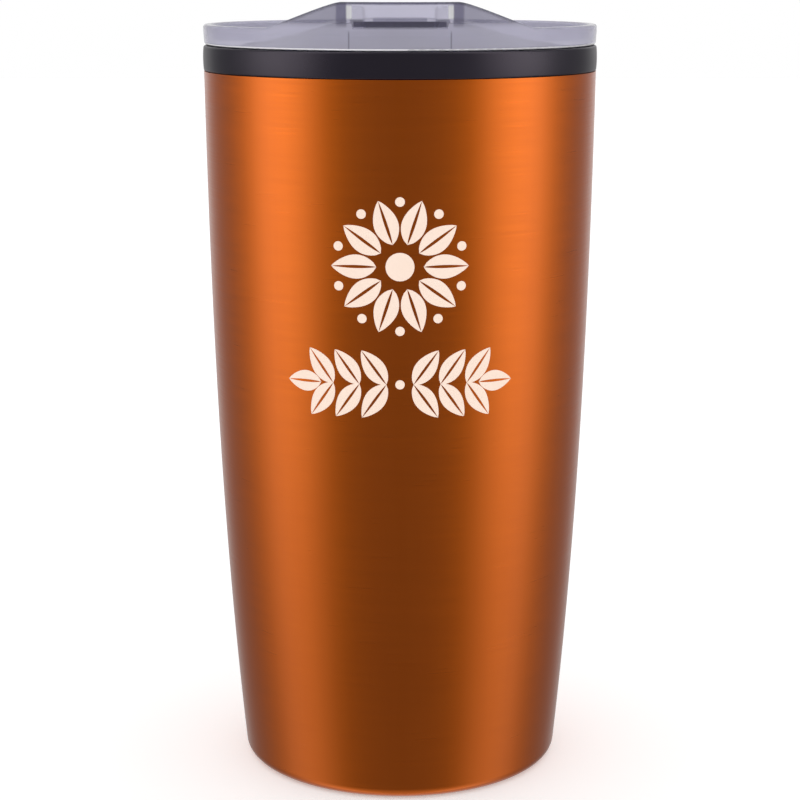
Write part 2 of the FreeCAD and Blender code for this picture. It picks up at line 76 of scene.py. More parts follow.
def grain(tree, coords, scale, detail=3.0, stretch=(1, 1, 1)):
    # noise from 0 to 1 on coordinates multiplied by stretch
    mapping = addNode(tree, "ShaderNodeMapping")
    mapping.inputs["Scale"].default_value = stretch
    feed(tree, mapping.inputs["Vector"], coords)
    noise = addNode(tree, "ShaderNodeTexNoise")
    noise.inputs["Scale"].default_value = scale
    noise.inputs["Detail"].default_value = detail
    feed(tree, noise.inputs["Vector"], mapping.outputs[0])
    return noise.outputs["Fac"]


def blendColour(tree, share, first, second):
    node = addNode(tree, "ShaderNodeMix", data_type="RGBA")
    feed(tree, node.inputs[0], share)
    feed(tree, node.inputs[6], first)
    feed(tree, node.inputs[7], second)
    return node.outputs[2]


def bumpFrom(tree, height, strength, distance):
    node = addNode(tree, "ShaderNodeBump")
    node.inputs["Strength"].default_value = strength
    node.inputs["Distance"].default_value = distance
    feed(tree, node.inputs["Height"], height)
    return node.outputs[0]


def startMaterial(name, settings):
    # a Principled material with its constants on its own sockets, and the piece's coordinates split up
    material = bpy.data.materials.new(name)
    material.use_nodes = True
    tree = material.node_tree
    shader = tree.nodes["Principled BSDF"]
    for socket, value in settings.items():
        shader.inputs[socket].default_value = value
    coords = addNode(tree, "ShaderNodeTexCoord").outputs["Object"]
    split = addNode(tree, "ShaderNodeSeparateXYZ")
    feed(tree, split.inputs[0], coords)
    return material, tree, shader, coords, split.outputs


def roundAbout(tree, axes):
    # distance from the tumbler's axis
    squares = [calc(tree, "POWER", axes[name], 2.0) for name in ("X", "Y")]
    return calc(tree, "SQRT", calc(tree, "ADD", *squares))


def ringTangent(tree, coords):
    # the direction round the tumbler, for brushed metal
    node = addNode(tree, "ShaderNodeVectorMath", operation="CROSS_PRODUCT")
    node.inputs[0].default_value = (0, 0, 1)
    feed(tree, node.inputs[1], coords)
    unit = addNode(tree, "ShaderNodeVectorMath", operation="NORMALIZE")
    feed(tree, unit.inputs[0], node.outputs[0])
    return unit.outputs[0]


# Small helpers for Geometry Nodes and for pieces.

def startGeometry(name, sizes):
    # a modifier tree with a named input for each size
    tree = bpy.data.node_groups.new(name, "GeometryNodeTree")
    tree.interface.new_socket(name="seed shape", in_out="INPUT", socket_type="NodeSocketGeometry")
    for label, value in sizes.items():
        kind = "NodeSocketInt" if isinstance(value, int) else "NodeSocketFloat"
        tree.interface.new_socket(name=label, in_out="INPUT", socket_type=kind)
    tree.interface.new_socket(name="finish", in_out="INPUT", socket_type="NodeSocketMaterial")
    tree.interface.new_socket(name="result", in_out="OUTPUT", socket_type="NodeSocketGeometry")
    return tree, addNode(tree, "NodeGroupInput").outputs, addNode(tree, "NodeGroupOutput").inputs[0]


def endGeometry(tree, given, result, geometry):
    real = addNode(tree, "GeometryNodeRealizeInstances")
    feed(tree, real.inputs[0], geometry)
    merged = addNode(tree, "GeometryNodeMergeByDistance")
    feed(tree, merged.inputs["Geometry"], real.outputs[0])
    merged.inputs["Distance"].default_value = 2e-6
    coated = addNode(tree, "GeometryNodeSetMaterial")
    feed(tree, coated.inputs["Geometry"], merged.outputs[0])
    feed(tree, coated.inputs["Material"], given["finish"])
    tree.links.new(coated.outputs[0], result)


def growPiece(name, seedMesh, tree, sizes, material):
    # run the tree on the seed shape and keep the result as a plain mesh
    piece = bpy.data.objects.new(name, seedMesh)
    bpy.context.scene.collection.objects.link(piece)
    modifier = piece.modifiers.new(tree.name, "NODES")
    modifier.node_group = tree
    given = dict(sizes, finish=material)
    for socket in tree.interface.items_tree:
        if socket.item_type == "SOCKET" and socket.in_out == "INPUT" and socket.name in given:
            modifier[socket.identifier] = given[socket.name]
    seen = piece.evaluated_get(bpy.context.evaluated_depsgraph_get())
    mesh = bpy.data.meshes.new_from_object(seen)
    piece.modifiers.remove(modifier)
    shell = bmesh.new()
    shell.from_mesh(mesh)
    bmesh.ops.recalc_face_normals(shell, faces=shell.faces)
    shell.to_mesh(mesh)
    shell.free()
    piece.data = mesh
    return piece


def placeAt(tree, *axes):
    node = addNode(tree, "ShaderNodeCombineXYZ")
    for socket, value in zip(node.inputs, axes):
        feed(tree, socket, value)
    return node.outputs[0]


def movePoints(tree, geometry, position):
    node = addNode(tree, "GeometryNodeSetPosition")
    feed(tree, node.inputs["Geometry"], geometry)
    feed(tree, node.inputs["Position"], position)
    return node.outputs[0]


def readPosition(tree):
    split = addNode(tree, "ShaderNodeSeparateXYZ")
    feed(tree, split.inputs[0], addNode(tree, "GeometryNodeInputPosition").outputs[0])
    return split.outputs


def turnedTree(sizes):
    # turns a closed outline, drawn as points in the XZ plane, about the tumbler's axis
    tree, given, result = startGeometry("turnedShape", sizes)
    grid = addNode(tree, "GeometryNodeMeshGrid")
    for name in ("Size X", "Size Y"):
        grid.inputs[name].default_value = 1.0
    count = addNode(tree, "GeometryNodeAttributeDomainSize", component="MESH")
    feed(tree, count.inputs[0], given["seed shape"])
    points = count.outputs["Point Count"]
    feed(tree, grid.inputs["Vertices X"], calc(tree, "ADD", points, 1.0))
    feed(tree, grid.inputs["Vertices Y"], calc(tree, "ADD", given["around"], 1.0))
    flat = readPosition(tree)
    along = calc(tree, "ROUND", calc(tree, "MULTIPLY", calc(tree, "ADD", flat["X"], 0.5), points))
    order = calc(tree, "MODULO", along, points)
    sample = addNode(tree, "GeometryNodeSampleIndex", data_type="FLOAT_VECTOR", domain="POINT")
    feed(tree, sample.inputs["Geometry"], given["seed shape"])
    feed(tree, sample.inputs["Value"], addNode(tree, "GeometryNodeInputPosition").outputs[0])
    feed(tree, sample.inputs["Index"], order)
    spot = addNode(tree, "ShaderNodeSeparateXYZ")
    feed(tree, spot.inputs[0], sample.outputs[0])
    angle = calc(tree, "MULTIPLY", calc(tree, "ADD", flat["Y"], 0.5), 2 * math.pi)
    across = calc(tree, "MULTIPLY", spot.outputs["X"], calc(tree, "SINE", angle))
    back = calc(tree, "MULTIPLY", spot.outputs["X"], calc(tree, "COSINE", angle))
    turned = placeAt(tree, across, back, spot.outputs["Z"])
    endGeometry(tree, given, result, movePoints(tree, grid.outputs["Mesh"], turned))
    return tree


def roundedOutline(corners, arcSteps, hold):
    # corners are (radius, height, rounding) in mm; straight runs get a holding point beside a corner
    line = []
    total = len(corners)
    for order, (x, z, rounding) in enumerate(corners):
        here = Vector((x, z))
        before = (Vector(corners[order - 1][:2]) - here)
        after = (Vector(corners[(order + 1) % total][:2]) - here)
        if not rounding:
            line.append(here)
            continue
        half = before.angle(after) / 2
        reach = rounding / math.tan(half)
        first, last = here + before.normalized() * reach, here + after.normalized() * reach
        middle = (before.normalized() + after.normalized()).normalized()
        centre = here + middle * (rounding / math.sin(half))
        if before.length > reach + 2 * hold:
            line.append(first + before.normalized() * hold)
        for step in range(arcSteps + 1):
            share = step / arcSteps
            spoke = (first - centre).normalized().slerp((last - centre).normalized(), share)
            line.append(centre + spoke * rounding)
        if after.length > reach + 2 * hold:
            line.append(last + after.normalized() * hold)
    return line


def turnPiece(name, line, around, material, sharpAngle):
    seed = bpy.data.meshes.new(name + "Outline")
    seed.from_pydata([(spot.x * mm, 0, spot.y * mm) for spot in line], [], [])
    sizes = {"around": around}
    piece = growPiece(name, seed, turnedTree(sizes), sizes, material)
    piece.data.shade_smooth()
    piece.data.set_sharp_from_angle(angle=math.radians(sharpAngle))
    return piece


def pullCurve(poles, steps):
    # points along a curve from the first pole to the last, pulled by the two between them
    spots = []
    for step in range(1, steps):
        t = step / steps      # share of the way along
        weights = ((1 - t) ** 3, 3 * t * (1 - t) ** 2, 3 * t * t * (1 - t), t ** 3)
        pulls = (Vector(pole) * weight for pole, weight in zip(poles, weights))
        spots.append(sum(pulls, Vector((0, 0))))
    return spots


# Orange wall: translucent orange lacquer over steel that is brushed round the cup.

orangeWall = {
    "poles": (36.35, 41.71, 43.26, 43.84), "top": 159.4, "thick": 0.8, "corner": 2.8,
    "foot": 30.75, "footLip": 3.2, "neck": 42.44, "lip": 1.4, "rows": 64, "around": 288,
    "lacquer": (0.90, 0.184, 0.008, 1), "lacquerDeep": (0.84, 0.160, 0.006, 1),
    "bare": (0.60, 0.59, 0.58, 1), "paintEdge": 0.0316, "paintTop": 0.0036,     # bare inside the foot
    "brush": (60, 60, 5200), "brushDepth": 0.000002, "streak": (520, 520, 6), "cloud": 55.0,
    "rough": (0.27, 0.36),
    "shader": {"Metallic": 1.0, "Anisotropic": 0.65,
               "Coat Weight": 0.85, "Coat Roughness": 0.16, "Coat IOR": 1.32},
}


def orangeLacquer():
    w = orangeWall
    material, tree, shader, coords, axes = startMaterial("orangeLacquerOnSteel", w["shader"])
    brush = grain(tree, coords, 1.0, 4.0, w["brush"])      # lines round the cup
    cloud = grain(tree, coords, w["cloud"], 2.0)           # slow change in the lacquer's depth
    streak = grain(tree, coords, 1.0, 3.0, w["streak"])    # faint upright streaks
    depth = calc(tree, "MULTIPLY_ADD", streak, 0.5, calc(tree, "MULTIPLY", cloud, 0.5))
    colour = blendColour(tree, depth, w["lacquer"], w["lacquerDeep"])
    withinFoot = ease(tree, roundAbout(tree, axes), w["paintEdge"], w["paintEdge"] - 0.0003)
    inside = calc(tree, "MULTIPLY", withinFoot, ease(tree, axes["Z"], w["paintTop"], w["paintTop"] - 0.0004))
    feed(tree, shader.inputs["Base Color"], blendColour(tree, inside, colour, w["bare"]))
    feed(tree, shader.inputs["Roughness"], ease(tree, brush, 0.2, 0.8, *w["rough"]))
    feed(tree, shader.inputs["Normal"], bumpFrom(tree, brush, 0.08, w["brushDepth"]))
    feed(tree, shader.inputs["Tangent"], ringTangent(tree, coords))
    return material


def makeOrangeWall():
    w = orangeWall
    thick, top, lip = w["thick"], w["top"], w["lip"]
    heights = [0, top / 3, 2 * top / 3, top]
    outside = pullCurve(list(zip(w["poles"], heights)), w["rows"])[2:]
    heights[0], heights[3] = thick, top - thick
    innerPoles = [(pole - thick, height) for pole, height in zip(w["poles"], heights)]
    inside = pullCurve(innerPoles, w["rows"])[2:]
    bare = [(spot.x, spot.y, 0) for spot in outside]
    lined = [(spot.x, spot.y, 0) for spot in reversed(inside)]
    foot, neck, high = w["foot"], w["neck"], w["poles"][3]
    line = roundedOutline(
        [(foot, 0, thick / 2), (w["poles"][0], 0, w["corner"])] + bare
        + [(high, top, 0), (neck, top, 0), (neck, top + lip, 0), (neck - thick, top + lip, 0),
           (neck - thick, top - thick, 0), (high - thick, top - thick, 0)] + lined
        + [(w["poles"][0] - thick, thick, w["corner"] - thick), (foot + thick, thick, 0),
           (foot + thick, w["footLip"], 0), (foot, w["footLip"], 0)], 8, 0.12)
    wall = turnPiece("orangeWall", line, w["around"], orangeLacquer(), sharpEdge)
    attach(wall, "cup")
    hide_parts("outer_shell")


# Base disc: bare steel with rings left by spinning, and its pressed centre.

baseSteel = {
    "steel": (0.56, 0.55, 0.54, 1), "steelDark": (0.44, 0.43, 0.42, 1), "rough": (0.28, 0.42),
    "ringPitch": 0.00042, "ringDepth": 6e-6, "ringWobble": 0.0002,
    "shader": {"Metallic": 1.0, "Anisotropic": 0.5},
}


def spunSteel():
    d = baseSteel
    material, tree, shader, coords, axes = startMaterial("spunSteel", d["shader"])
    away = roundAbout(tree, axes)
    wobble = calc(tree, "MULTIPLY_ADD", grain(tree, coords, 90.0), d["ringWobble"], away)
    rings = calc(tree, "SINE", calc(tree, "MULTIPLY", wobble, 2 * math.pi / d["ringPitch"]))
    fine = grain(tree, coords, 900.0, 4.0)
    feed(tree, shader.inputs["Base Color"], blendColour(tree, fine, d["steel"], d["steelDark"]))
    feed(tree, shader.inputs["Roughness"], ease(tree, fine, 0.2, 0.8, *d["rough"]))
    feed(tree, shader.inputs["Normal"], bumpFrom(tree, rings, 0.5, d["ringDepth"]))
    feed(tree, shader.inputs["Tangent"], ringTangent(tree, coords))
    return material


# Black plastics: the polished liner, and the band with its fine moulded grain.

linerPlastic = {
    "black": (0.017, 0.017, 0.020, 1), "worn": (0.030, 0.030, 0.034, 1),
    "grain": 700.0, "grainDepth": 0.000006, "rough": (0.18, 0.30),
    "shader": {"Metallic": 0.0, "IOR": 1.49, "Specular IOR Level": 0.5},
}
bandPlastic = {
    "black": (0.0045, 0.0040, 0.0095, 1), "worn": (0.0075, 0.0065, 0.0135, 1),
    "grain": 5200.0, "grainDepth": 0.00001, "rough": (0.27, 0.35),
    "shader": {"Metallic": 0.0, "IOR": 1.5, "Specular IOR Level": 0.65,
               "Specular Tint": (1.0, 0.86, 1.0, 1)},
}


def mouldedPlastic(name, values):
    material, tree, shader, coords, axes = startMaterial(name, values["shader"])
    skin = grain(tree, coords, values["grain"], 5.0)
    cloud = grain(tree, coords, 60.0, 3.0)
    feed(tree, shader.inputs["Base Color"], blendColour(tree, cloud, values["black"], values["worn"]))
    feed(tree, shader.inputs["Roughness"], ease(tree, cloud, 0.3, 0.7, *values["rough"]))
    feed(tree, shader.inputs["Normal"], bumpFrom(tree, skin, 0.6, values["grainDepth"]))
    return material


rimBand = {
    "edge": 43.84, "crown": 0.15, "low": 159.4, "high": 165.0, "neck": 42.44, "mouth": 39.9,
    "flangeTop": 163.4, "round": 0.5, "rows": 12, "around": 288,
}


def makeRimBand():
    b = rimBand
    edge, low, high, soft = b["edge"], b["low"], b["high"], b["round"]
    pull, third = edge + b["crown"] * 4 / 3, (high - low) / 3
    poles = [(edge, low), (pull, low + third), (pull, high - third), (edge, high)]
    crown = [(spot.x, spot.y, 0) for spot in pullCurve(poles, b["rows"])[1:-1]]
    line = roundedOutline(
        [(b["neck"], low, 0), (edge, low, soft)] + crown
        + [(edge, high, soft), (b["mouth"], high, soft), (b["mouth"], b["flangeTop"], 0),
           (b["neck"], b["flangeTop"], 0)], 6, 0.06)
    band = turnPiece("rimBand", line, b["around"], mouldedPlastic("bandBlack", bandPlastic), sharpEdge)
    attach(band, "cup")
    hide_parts("rim_collar")


# Clear smoke plastic of the lid and the slider; heights and distances in metres.

smokeLid = {
    # After thin and thick, these colours are painted light: two tones of painted shade beside and under the
    # spout's window, a painted glint, and a painted highlight where the rim stands on the band
    "thin": (0.60, 0.585, 0.70, 1), "thick": (0.55, 0.535, 0.65, 1), "cheekShade": (0.35, 0.34, 0.42, 1),
    "darkShade": (0.20, 0.19, 0.27, 1), "glint": (0.66, 0.66, 0.67, 1), "seatHighlight": (0.93, 0.92, 0.95, 1),
    "window": 0.0098, "shadeStart": 0.0109, "shadeEnd": 0.0130, "shadeLow": 0.1695, "paintSoft": 0.0003,
    "shadeLineBack": 0.0006, "shadeLineSoft": 0.0001,     # a fine painted shade line under each shade band
    "glintLow": 0.1716, "glintHigh": 0.1743,
    "shelfShade": 0.0094, "shelfLow": 0.16998, "shelfHigh": 0.1711, "crest": 0.1745,
    "spoutBack": -0.020, "outer": 0.0402, "footTop": 0.1710, "windowLow": 0.1699,
    "seatTop": 0.16555, "seatSoft": 0.00008,
    "soft": 0.0002, "rough": (0.03, 0.07), "flowDepth": 0.00004,
    "clear": 0.76, "misted": 0.50, "frosted": 0.70, "glossy": 0.40,     # shares of light let through
    "shader": {"IOR": 1.38, "Metallic": 0.0, "Specular IOR Level": 0.5},
}
smokeSlider = {
    # front is a painted shade colour for the slider's front face
    "thin": (0.60, 0.585, 0.70, 1), "thick": (0.55, 0.535, 0.65, 1), "front": (0.07, 0.068, 0.10, 1),
    "frontFace": -0.0380, "rough": (0.03, 0.07), "flowDepth": 0.00004,
    "shader": {"Transmission Weight": 0.60, "IOR": 1.5, "Metallic": 0.0, "Specular IOR Level": 0.5},
}


def clearSmoke(name, values):
    material, tree, shader, coords, axes = startMaterial(name, values["shader"])
    flow = grain(tree, coords, 70.0, 2.0, (1, 1, 0.4))     # flow marks from moulding
    colour = blendColour(tree, flow, values["thin"], values["thick"])
    feed(tree, shader.inputs["Roughness"], ease(tree, flow, 0.3, 0.7, *values["rough"]))
    feed(tree, shader.inputs["Normal"], bumpFrom(tree, flow, 0.25, values["flowDepth"]))
    return material, tree, shader, axes, colour


def between(tree, value, low, high, soft):
    # 1 inside a range, with soft ends
    rise = ease(tree, value, low - soft, low + soft)
    return calc(tree, "MULTIPLY", rise, ease(tree, value, high + soft, high - soft))


def allOf(tree, *masks):
    # where every mask is 1
    share = masks[0]
    for mask in masks[1:]:
        share = calc(tree, "MULTIPLY", share, mask)
    return share


def clearLid():
    # painted shade as dark bands and lines beside and under the spout's window, painted glints beside it, a
    # misted rim foot and deck, and a painted highlight as a pale edge where the rim stands on the band
    s = smokeLid
    start, low, soft = s["shadeStart"], s["shadeLow"], s["soft"]
    material, tree, shader, axes, colour = clearSmoke("smokeLid", s)
    aside, high = calc(tree, "ABSOLUTE", axes["X"]), axes["Z"]
    outer = ease(tree, roundAbout(tree, axes), s["outer"] - soft, s["outer"] + 3 * soft)
    front = ease(tree, axes["Y"], s["spoutBack"], s["spoutBack"] - 0.01)
    raised = allOf(tree, front, ease(tree, high, low, low + 0.002))
    # painted shade: the raised spout cheeks beside the window are tinted darker lavender
    cheekShade = allOf(tree, ease(tree, aside, start - soft, start + soft), raised)
    # painted shade: a darker band just outside the cheek's edge
    darkShade = allOf(tree, between(tree, aside, start, s["shadeEnd"], s["paintSoft"]), raised)
    colour = blendColour(tree, darkShade, blendColour(tree, cheekShade, colour, s["cheekShade"]), s["darkShade"])
    # painted shade: a thin dark line below the band, in the cheek's colour
    shadeLine = between(tree, aside, start - s["shadeLineBack"], start - s["shadeLineBack"] / 2, s["shadeLineSoft"])
    shadeLine = allOf(tree, shadeLine, front, ease(tree, high, low, low - 0.001), outer)
    colour = blendColour(tree, shadeLine, colour, s["cheekShade"])
    # painted shade: a dark line under the spout's window and a dark line along the spout's crest
    shelfShade = allOf(tree, between(tree, high, s["shelfLow"], s["shelfHigh"], soft / 2),
                  ease(tree, aside, s["shelfShade"] + soft, s["shelfShade"] - soft / 2), front, outer)
    crest = allOf(tree, ease(tree, high, s["crest"], s["crest"] + soft), front, outer)
    colour = blendColour(tree, calc(tree, "MAXIMUM", shelfShade, crest), colour, s["darkShade"])
    # painted highlight: a pale glint strip on each side of the spout's window, letting less light through
    glint = allOf(tree, between(tree, aside, s["window"], start, soft),
                  between(tree, high, s["glintLow"], s["glintHigh"], s["paintSoft"]), front, outer)
    colour = blendColour(tree, glint, colour, s["glint"])
    # painted highlight: a pale band along the rim's foot where it stands on the band
    seatHighlight = ease(tree, high, s["seatTop"] + s["seatSoft"], s["seatTop"] - s["seatSoft"] / 2)
    seatHighlight = allOf(tree, seatHighlight, outer)
    feed(tree, shader.inputs["Base Color"], blendColour(tree, seatHighlight, colour, s["seatHighlight"]))
    window = allOf(tree, ease(tree, aside, s["window"] + soft, s["window"] - soft), front)
    footTop = calc(tree, "MULTIPLY_ADD", window, s["windowLow"] - s["footTop"], s["footTop"])
    foot = allOf(tree, ease(tree, calc(tree, "SUBTRACT", footTop, high), 0.0, 0.0005), outer)
    inner = calc(tree, "SUBTRACT", 1.0, outer)
    through = calc(tree, "MULTIPLY_ADD", inner, s["frosted"] - s["clear"], s["clear"])
    through = calc(tree, "MULTIPLY_ADD", foot, s["misted"] - s["clear"], through)
    # less light through under the painted glint, and none under the painted highlight at the rim's foot
    through = calc(tree, "MULTIPLY_ADD", glint, s["glossy"] - s["clear"], through)
    through = allOf(tree, through, calc(tree, "SUBTRACT", 1.0, seatHighlight))
    feed(tree, shader.inputs["Transmission Weight"], through)
    return material


def clearSlider():
    # a smoke plate whose front face is painted dark, a painted shade for how it looks through the spout
    s = smokeSlider
    material, tree, shader, axes, colour = clearSmoke("smokeSlider", s)
    # painted shade: the front face takes the dark front colour
    paintedShadeFace = ease(tree, axes["Y"], s["frontFace"], s["frontFace"] - 0.0003)
    feed(tree, shader.inputs["Base Color"], blendColour(tree, paintedShadeFace, colour, s["front"]))
    return material


# Silicone of the gasket and the two seals.

siliconeRubber = {
    "clean": (0.62, 0.62, 0.65, 1), "dusty": (0.70, 0.69, 0.68, 1), "rough": (0.42, 0.55),
    "shader": {"IOR": 1.41, "Subsurface Weight": 0.25, "Subsurface Scale": 0.001,
               "Transmission Weight": 0.15},
}


def silicone():
    r = siliconeRubber
    material, tree, shader, coords, axes = startMaterial("siliconeRubber", r["shader"])
    dust = grain(tree, coords, 1400.0, 4.0)
    feed(tree, shader.inputs["Base Color"], blendColour(tree, dust, r["clean"], r["dusty"]))
    feed(tree, shader.inputs["Roughness"], ease(tree, dust, 0.3, 0.7, *r["rough"]))
    feed(tree, shader.inputs["Normal"], bumpFrom(tree, dust, 0.4, 0.00001))
    return material


# Cream print on the drinking side: a ring of petals above a garland of leaves.

creamPrint = {
    "cream": (0.955, 0.78, 0.67, 1), "creamThin": (0.93, 0.73, 0.60, 1), "rough": (0.48, 0.62),
    "proud": 0.05, "sunk": 0.03, "across": 42.8,
    "leafSteps": 16, "leafRows": 3, "leafEnd": 0.86, "leafFull": 0.8, "vein": 0.13,
    "dotSegments": 28, "dotRings": 14,
    "shader": {"Metallic": 0.0, "IOR": 1.45, "Specular IOR Level": 0.35},
}
petalRing = {
    "petals": 10, "petal start": 4.9 * mm, "petal length": 9.6 * mm, "petal width": 5.1 * mm,
    "heart": 3.0 * mm, "dot ring": 13.6 * mm, "dot": 1.0 * mm, "height": 120.9 * mm,
}
leafGarland = {
    "pairs": 6, "half length": 14.5 * mm, "leaf length": 9.0 * mm, "leaf width": 4.5 * mm, "tilt": 0.94,
    "tip start": 17.3 * mm, "tip length": 8.0 * mm, "dot": 1.0 * mm, "height": 95.8 * mm,
}


def creamInk():
    c = creamPrint
    material, tree, shader, coords, axes = startMaterial("creamInk", c["shader"])
    screen = grain(tree, coords, 2600.0, 3.0)       # tiny unevenness that printing leaves
    patch = grain(tree, coords, 160.0, 2.0)
    feed(tree, shader.inputs["Base Color"], blendColour(tree, patch, c["cream"], c["creamThin"]))
    feed(tree, shader.inputs["Roughness"], ease(tree, screen, 0.3, 0.7, *c["rough"]))
    feed(tree, shader.inputs["Normal"], bumpFrom(tree, screen, 0.35, 0.000006))
    return material


def leafShape(name):
    # a pointed leaf of unit length and width along +X, in two closed halves with an open vein between
    c = creamPrint
    steps, rows = c["leafSteps"], c["leafRows"]
    spots, faces = [], []
    for side in (-1, 1):
        start = len(spots)
        for level in (-c["sunk"] * mm, c["proud"] * mm):
            for step in range(steps + 1):
                half = 0.0      # half the width, none at the two ends
                if 0 < step < steps:
                    half = 0.5 * math.sin(math.pi * (step / steps) ** c["leafEnd"]) ** c["leafFull"]
                for row in range(rows + 1):
                    share = c["vein"] + (1 - c["vein"]) * row / rows
                    spots.append((step / steps, side * half * share, level))
        layer = (steps + 1) * (rows + 1)
        for step in range(steps):
            for row in range(rows):
                a = start + step * (rows + 1) + row
                b = a + rows + 1
                faces.append((a, a + 1, b + 1, b))
                faces.append((a + layer, b + layer, b + layer + 1, a + layer + 1))
            for row in (0, rows):
                a = start + step * (rows + 1) + row
                b = a + rows + 1
                faces.append((a, b, b + layer, a + layer))
    mesh = bpy.data.meshes.new(name)
    mesh.from_pydata(spots, [], faces)
    return mesh


def flatDot(tree, radius):
    # a low dome: a sphere pressed flat
    ball = addNode(tree, "GeometryNodeMeshUVSphere")
    ball.inputs["Segments"].default_value = creamPrint["dotSegments"]
    ball.inputs["Rings"].default_value = creamPrint["dotRings"]
    feed(tree, ball.inputs["Radius"], radius)
    spot = readPosition(tree)
    level = calc(tree, "MULTIPLY", calc(tree, "DIVIDE", spot["Z"], radius), creamPrint["proud"] * mm)
    return movePoints(tree, ball.outputs["Mesh"], placeAt(tree, spot["X"], spot["Y"], level))


def putOn(tree, points, shape, turn=None, scale=None):
    node = addNode(tree, "GeometryNodeInstanceOnPoints")
    feed(tree, node.inputs["Points"], points)
    feed(tree, node.inputs["Instance"], shape)
    if turn is not None:
        feed(tree, node.inputs["Rotation"], placeAt(tree, 0.0, 0.0, turn))
    if scale is not None:
        feed(tree, node.inputs["Scale"], scale)
    return node.outputs[0]


def joinAll(tree, parts):
    node = addNode(tree, "GeometryNodeJoinGeometry")
    for part in reversed(parts):
        tree.links.new(part, node.inputs[0])
    return node.outputs[0]


def wrapOnWall(tree, given, geometry):
    # X runs round the wall, Y up it and Z out from it
    real = addNode(tree, "GeometryNodeRealizeInstances")
    feed(tree, real.inputs[0], geometry)
    spot = readPosition(tree)
    up = calc(tree, "ADD", spot["Y"], given["height"])
    t = calc(tree, "DIVIDE", up, orangeWall["top"] * mm)
    rest = calc(tree, "SUBTRACT", 1.0, t)
    radius = spot["Z"]
    for order, (pole, share) in enumerate(zip(orangeWall["poles"], (1, 3, 3, 1))):
        rising = calc(tree, "POWER", t, float(order))
        weight = calc(tree, "MULTIPLY", rising, calc(tree, "POWER", rest, float(3 - order)))
        radius = calc(tree, "MULTIPLY_ADD", weight, share * pole * mm, radius)
    angle = calc(tree, "DIVIDE", spot["X"], creamPrint["across"] * mm)
    across = calc(tree, "MULTIPLY", radius, calc(tree, "SINE", angle))
    ahead = calc(tree, "MULTIPLY", calc(tree, "MULTIPLY", radius, calc(tree, "COSINE", angle)), -1.0)
    return movePoints(tree, real.outputs[0], placeAt(tree, across, ahead, up))


def ringOf(tree, count, radius):
    circle = addNode(tree, "GeometryNodeMeshCircle")
    feed(tree, circle.inputs["Vertices"], count)
    feed(tree, circle.inputs["Radius"], radius)
    return circle.outputs[0]


def facingOut(tree):
    # the angle of a point about the ornament's middle
    spot = readPosition(tree)
    return calc(tree, "ARCTAN2", spot["Y"], spot["X"])


def petalTree():
    tree, given, result = startGeometry("petalRing", petalRing)
    petal = placeAt(tree, given["petal length"], given["petal width"], 1.0)
    ring = ringOf(tree, given["petals"], given["petal start"])
    petals = putOn(tree, ring, given["seed shape"], facingOut(tree), petal)
    dots = putOn(tree, ringOf(tree, given["petals"], given["dot ring"]), flatDot(tree, given["dot"]))
    gaps = addNode(tree, "GeometryNodeTransform")       # turns the dots to stand between the petals
    feed(tree, gaps.inputs["Geometry"], dots)
    halfStep = calc(tree, "DIVIDE", math.pi, given["petals"])
    feed(tree, gaps.inputs["Rotation"], placeAt(tree, 0.0, 0.0, halfStep))
    ornament = joinAll(tree, [petals, gaps.outputs[0], flatDot(tree, given["heart"])])
    endGeometry(tree, given, result, wrapOnWall(tree, given, ornament))
    return tree


def garlandTree():
    tree, given, result = startGeometry("leafGarland", leafGarland)
    line = addNode(tree, "GeometryNodeMeshLine", mode="END_POINTS")
    feed(tree, line.inputs["Count"], given["pairs"])
    start = calc(tree, "MULTIPLY", given["half length"], -1.0)
    feed(tree, line.inputs["Start Location"], placeAt(tree, start, 0.0, 0.0))
    feed(tree, line.inputs["Offset"], placeAt(tree, given["half length"], 0.0, 0.0))
    side = calc(tree, "SIGN", readPosition(tree)["X"])
    upright = calc(tree, "SUBTRACT", math.pi / 2, given["tilt"])
    lean = calc(tree, "SUBTRACT", math.pi / 2, calc(tree, "MULTIPLY", side, upright))
    leaf = placeAt(tree, given["leaf length"], given["leaf width"], 1.0)
    parts = [putOn(tree, line.outputs[0], given["seed shape"], turn, leaf)
             for turn in (lean, calc(tree, "MULTIPLY", lean, -1.0))]
    ends = addNode(tree, "GeometryNodeMeshLine", mode="END_POINTS")
    ends.inputs["Count"].default_value = 2
    first = calc(tree, "MULTIPLY", given["tip start"], -1.0)
    feed(tree, ends.inputs["Start Location"], placeAt(tree, first, 0.0, 0.0))
    feed(tree, ends.inputs["Offset"], placeAt(tree, given["tip start"], 0.0, 0.0))
    tip = placeAt(tree, given["tip length"], given["leaf width"], 1.0)
    parts.append(putOn(tree, ends.outputs[0], given["seed shape"], facingOut(tree), tip))
    parts.append(flatDot(tree, given["dot"]))
    endGeometry(tree, given, result, wrapOnWall(tree, given, joinAll(tree, parts)))
    return tree


def makePrint():
    ink = creamInk()
    prints = (("petalPrint", petalTree(), petalRing), ("leafPrint", garlandTree(), leafGarland))
    for name, tree, sizes in prints:
        piece = growPiece(name, leafShape(name + "Leaf"), tree, sizes, ink)
        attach(piece, "cup")


def finish(material, *names):
    # the only change to a CAD node: the material it wears
    for name in names:
        nodes[name].data.materials.clear()
        nodes[name].data.materials.append(material)


makeOrangeWall()
makeRimBand()
makePrint()
print("wall, band and print are made")
finish(spunSteel(), "base_disc")
finish(mouldedPlastic("linerBlack", linerPlastic), "inner_liner")
finish(clearLid(), "lid_shell")
finish(clearSlider(), "slide_tab", "slide_clip")
finish(silicone(), "liner_seal", "lid_gasket", "slide_seal")
print("finishes are on")


# Studio: pale floor, a white backdrop, and a room that only reflections see, lit softly from both sides.

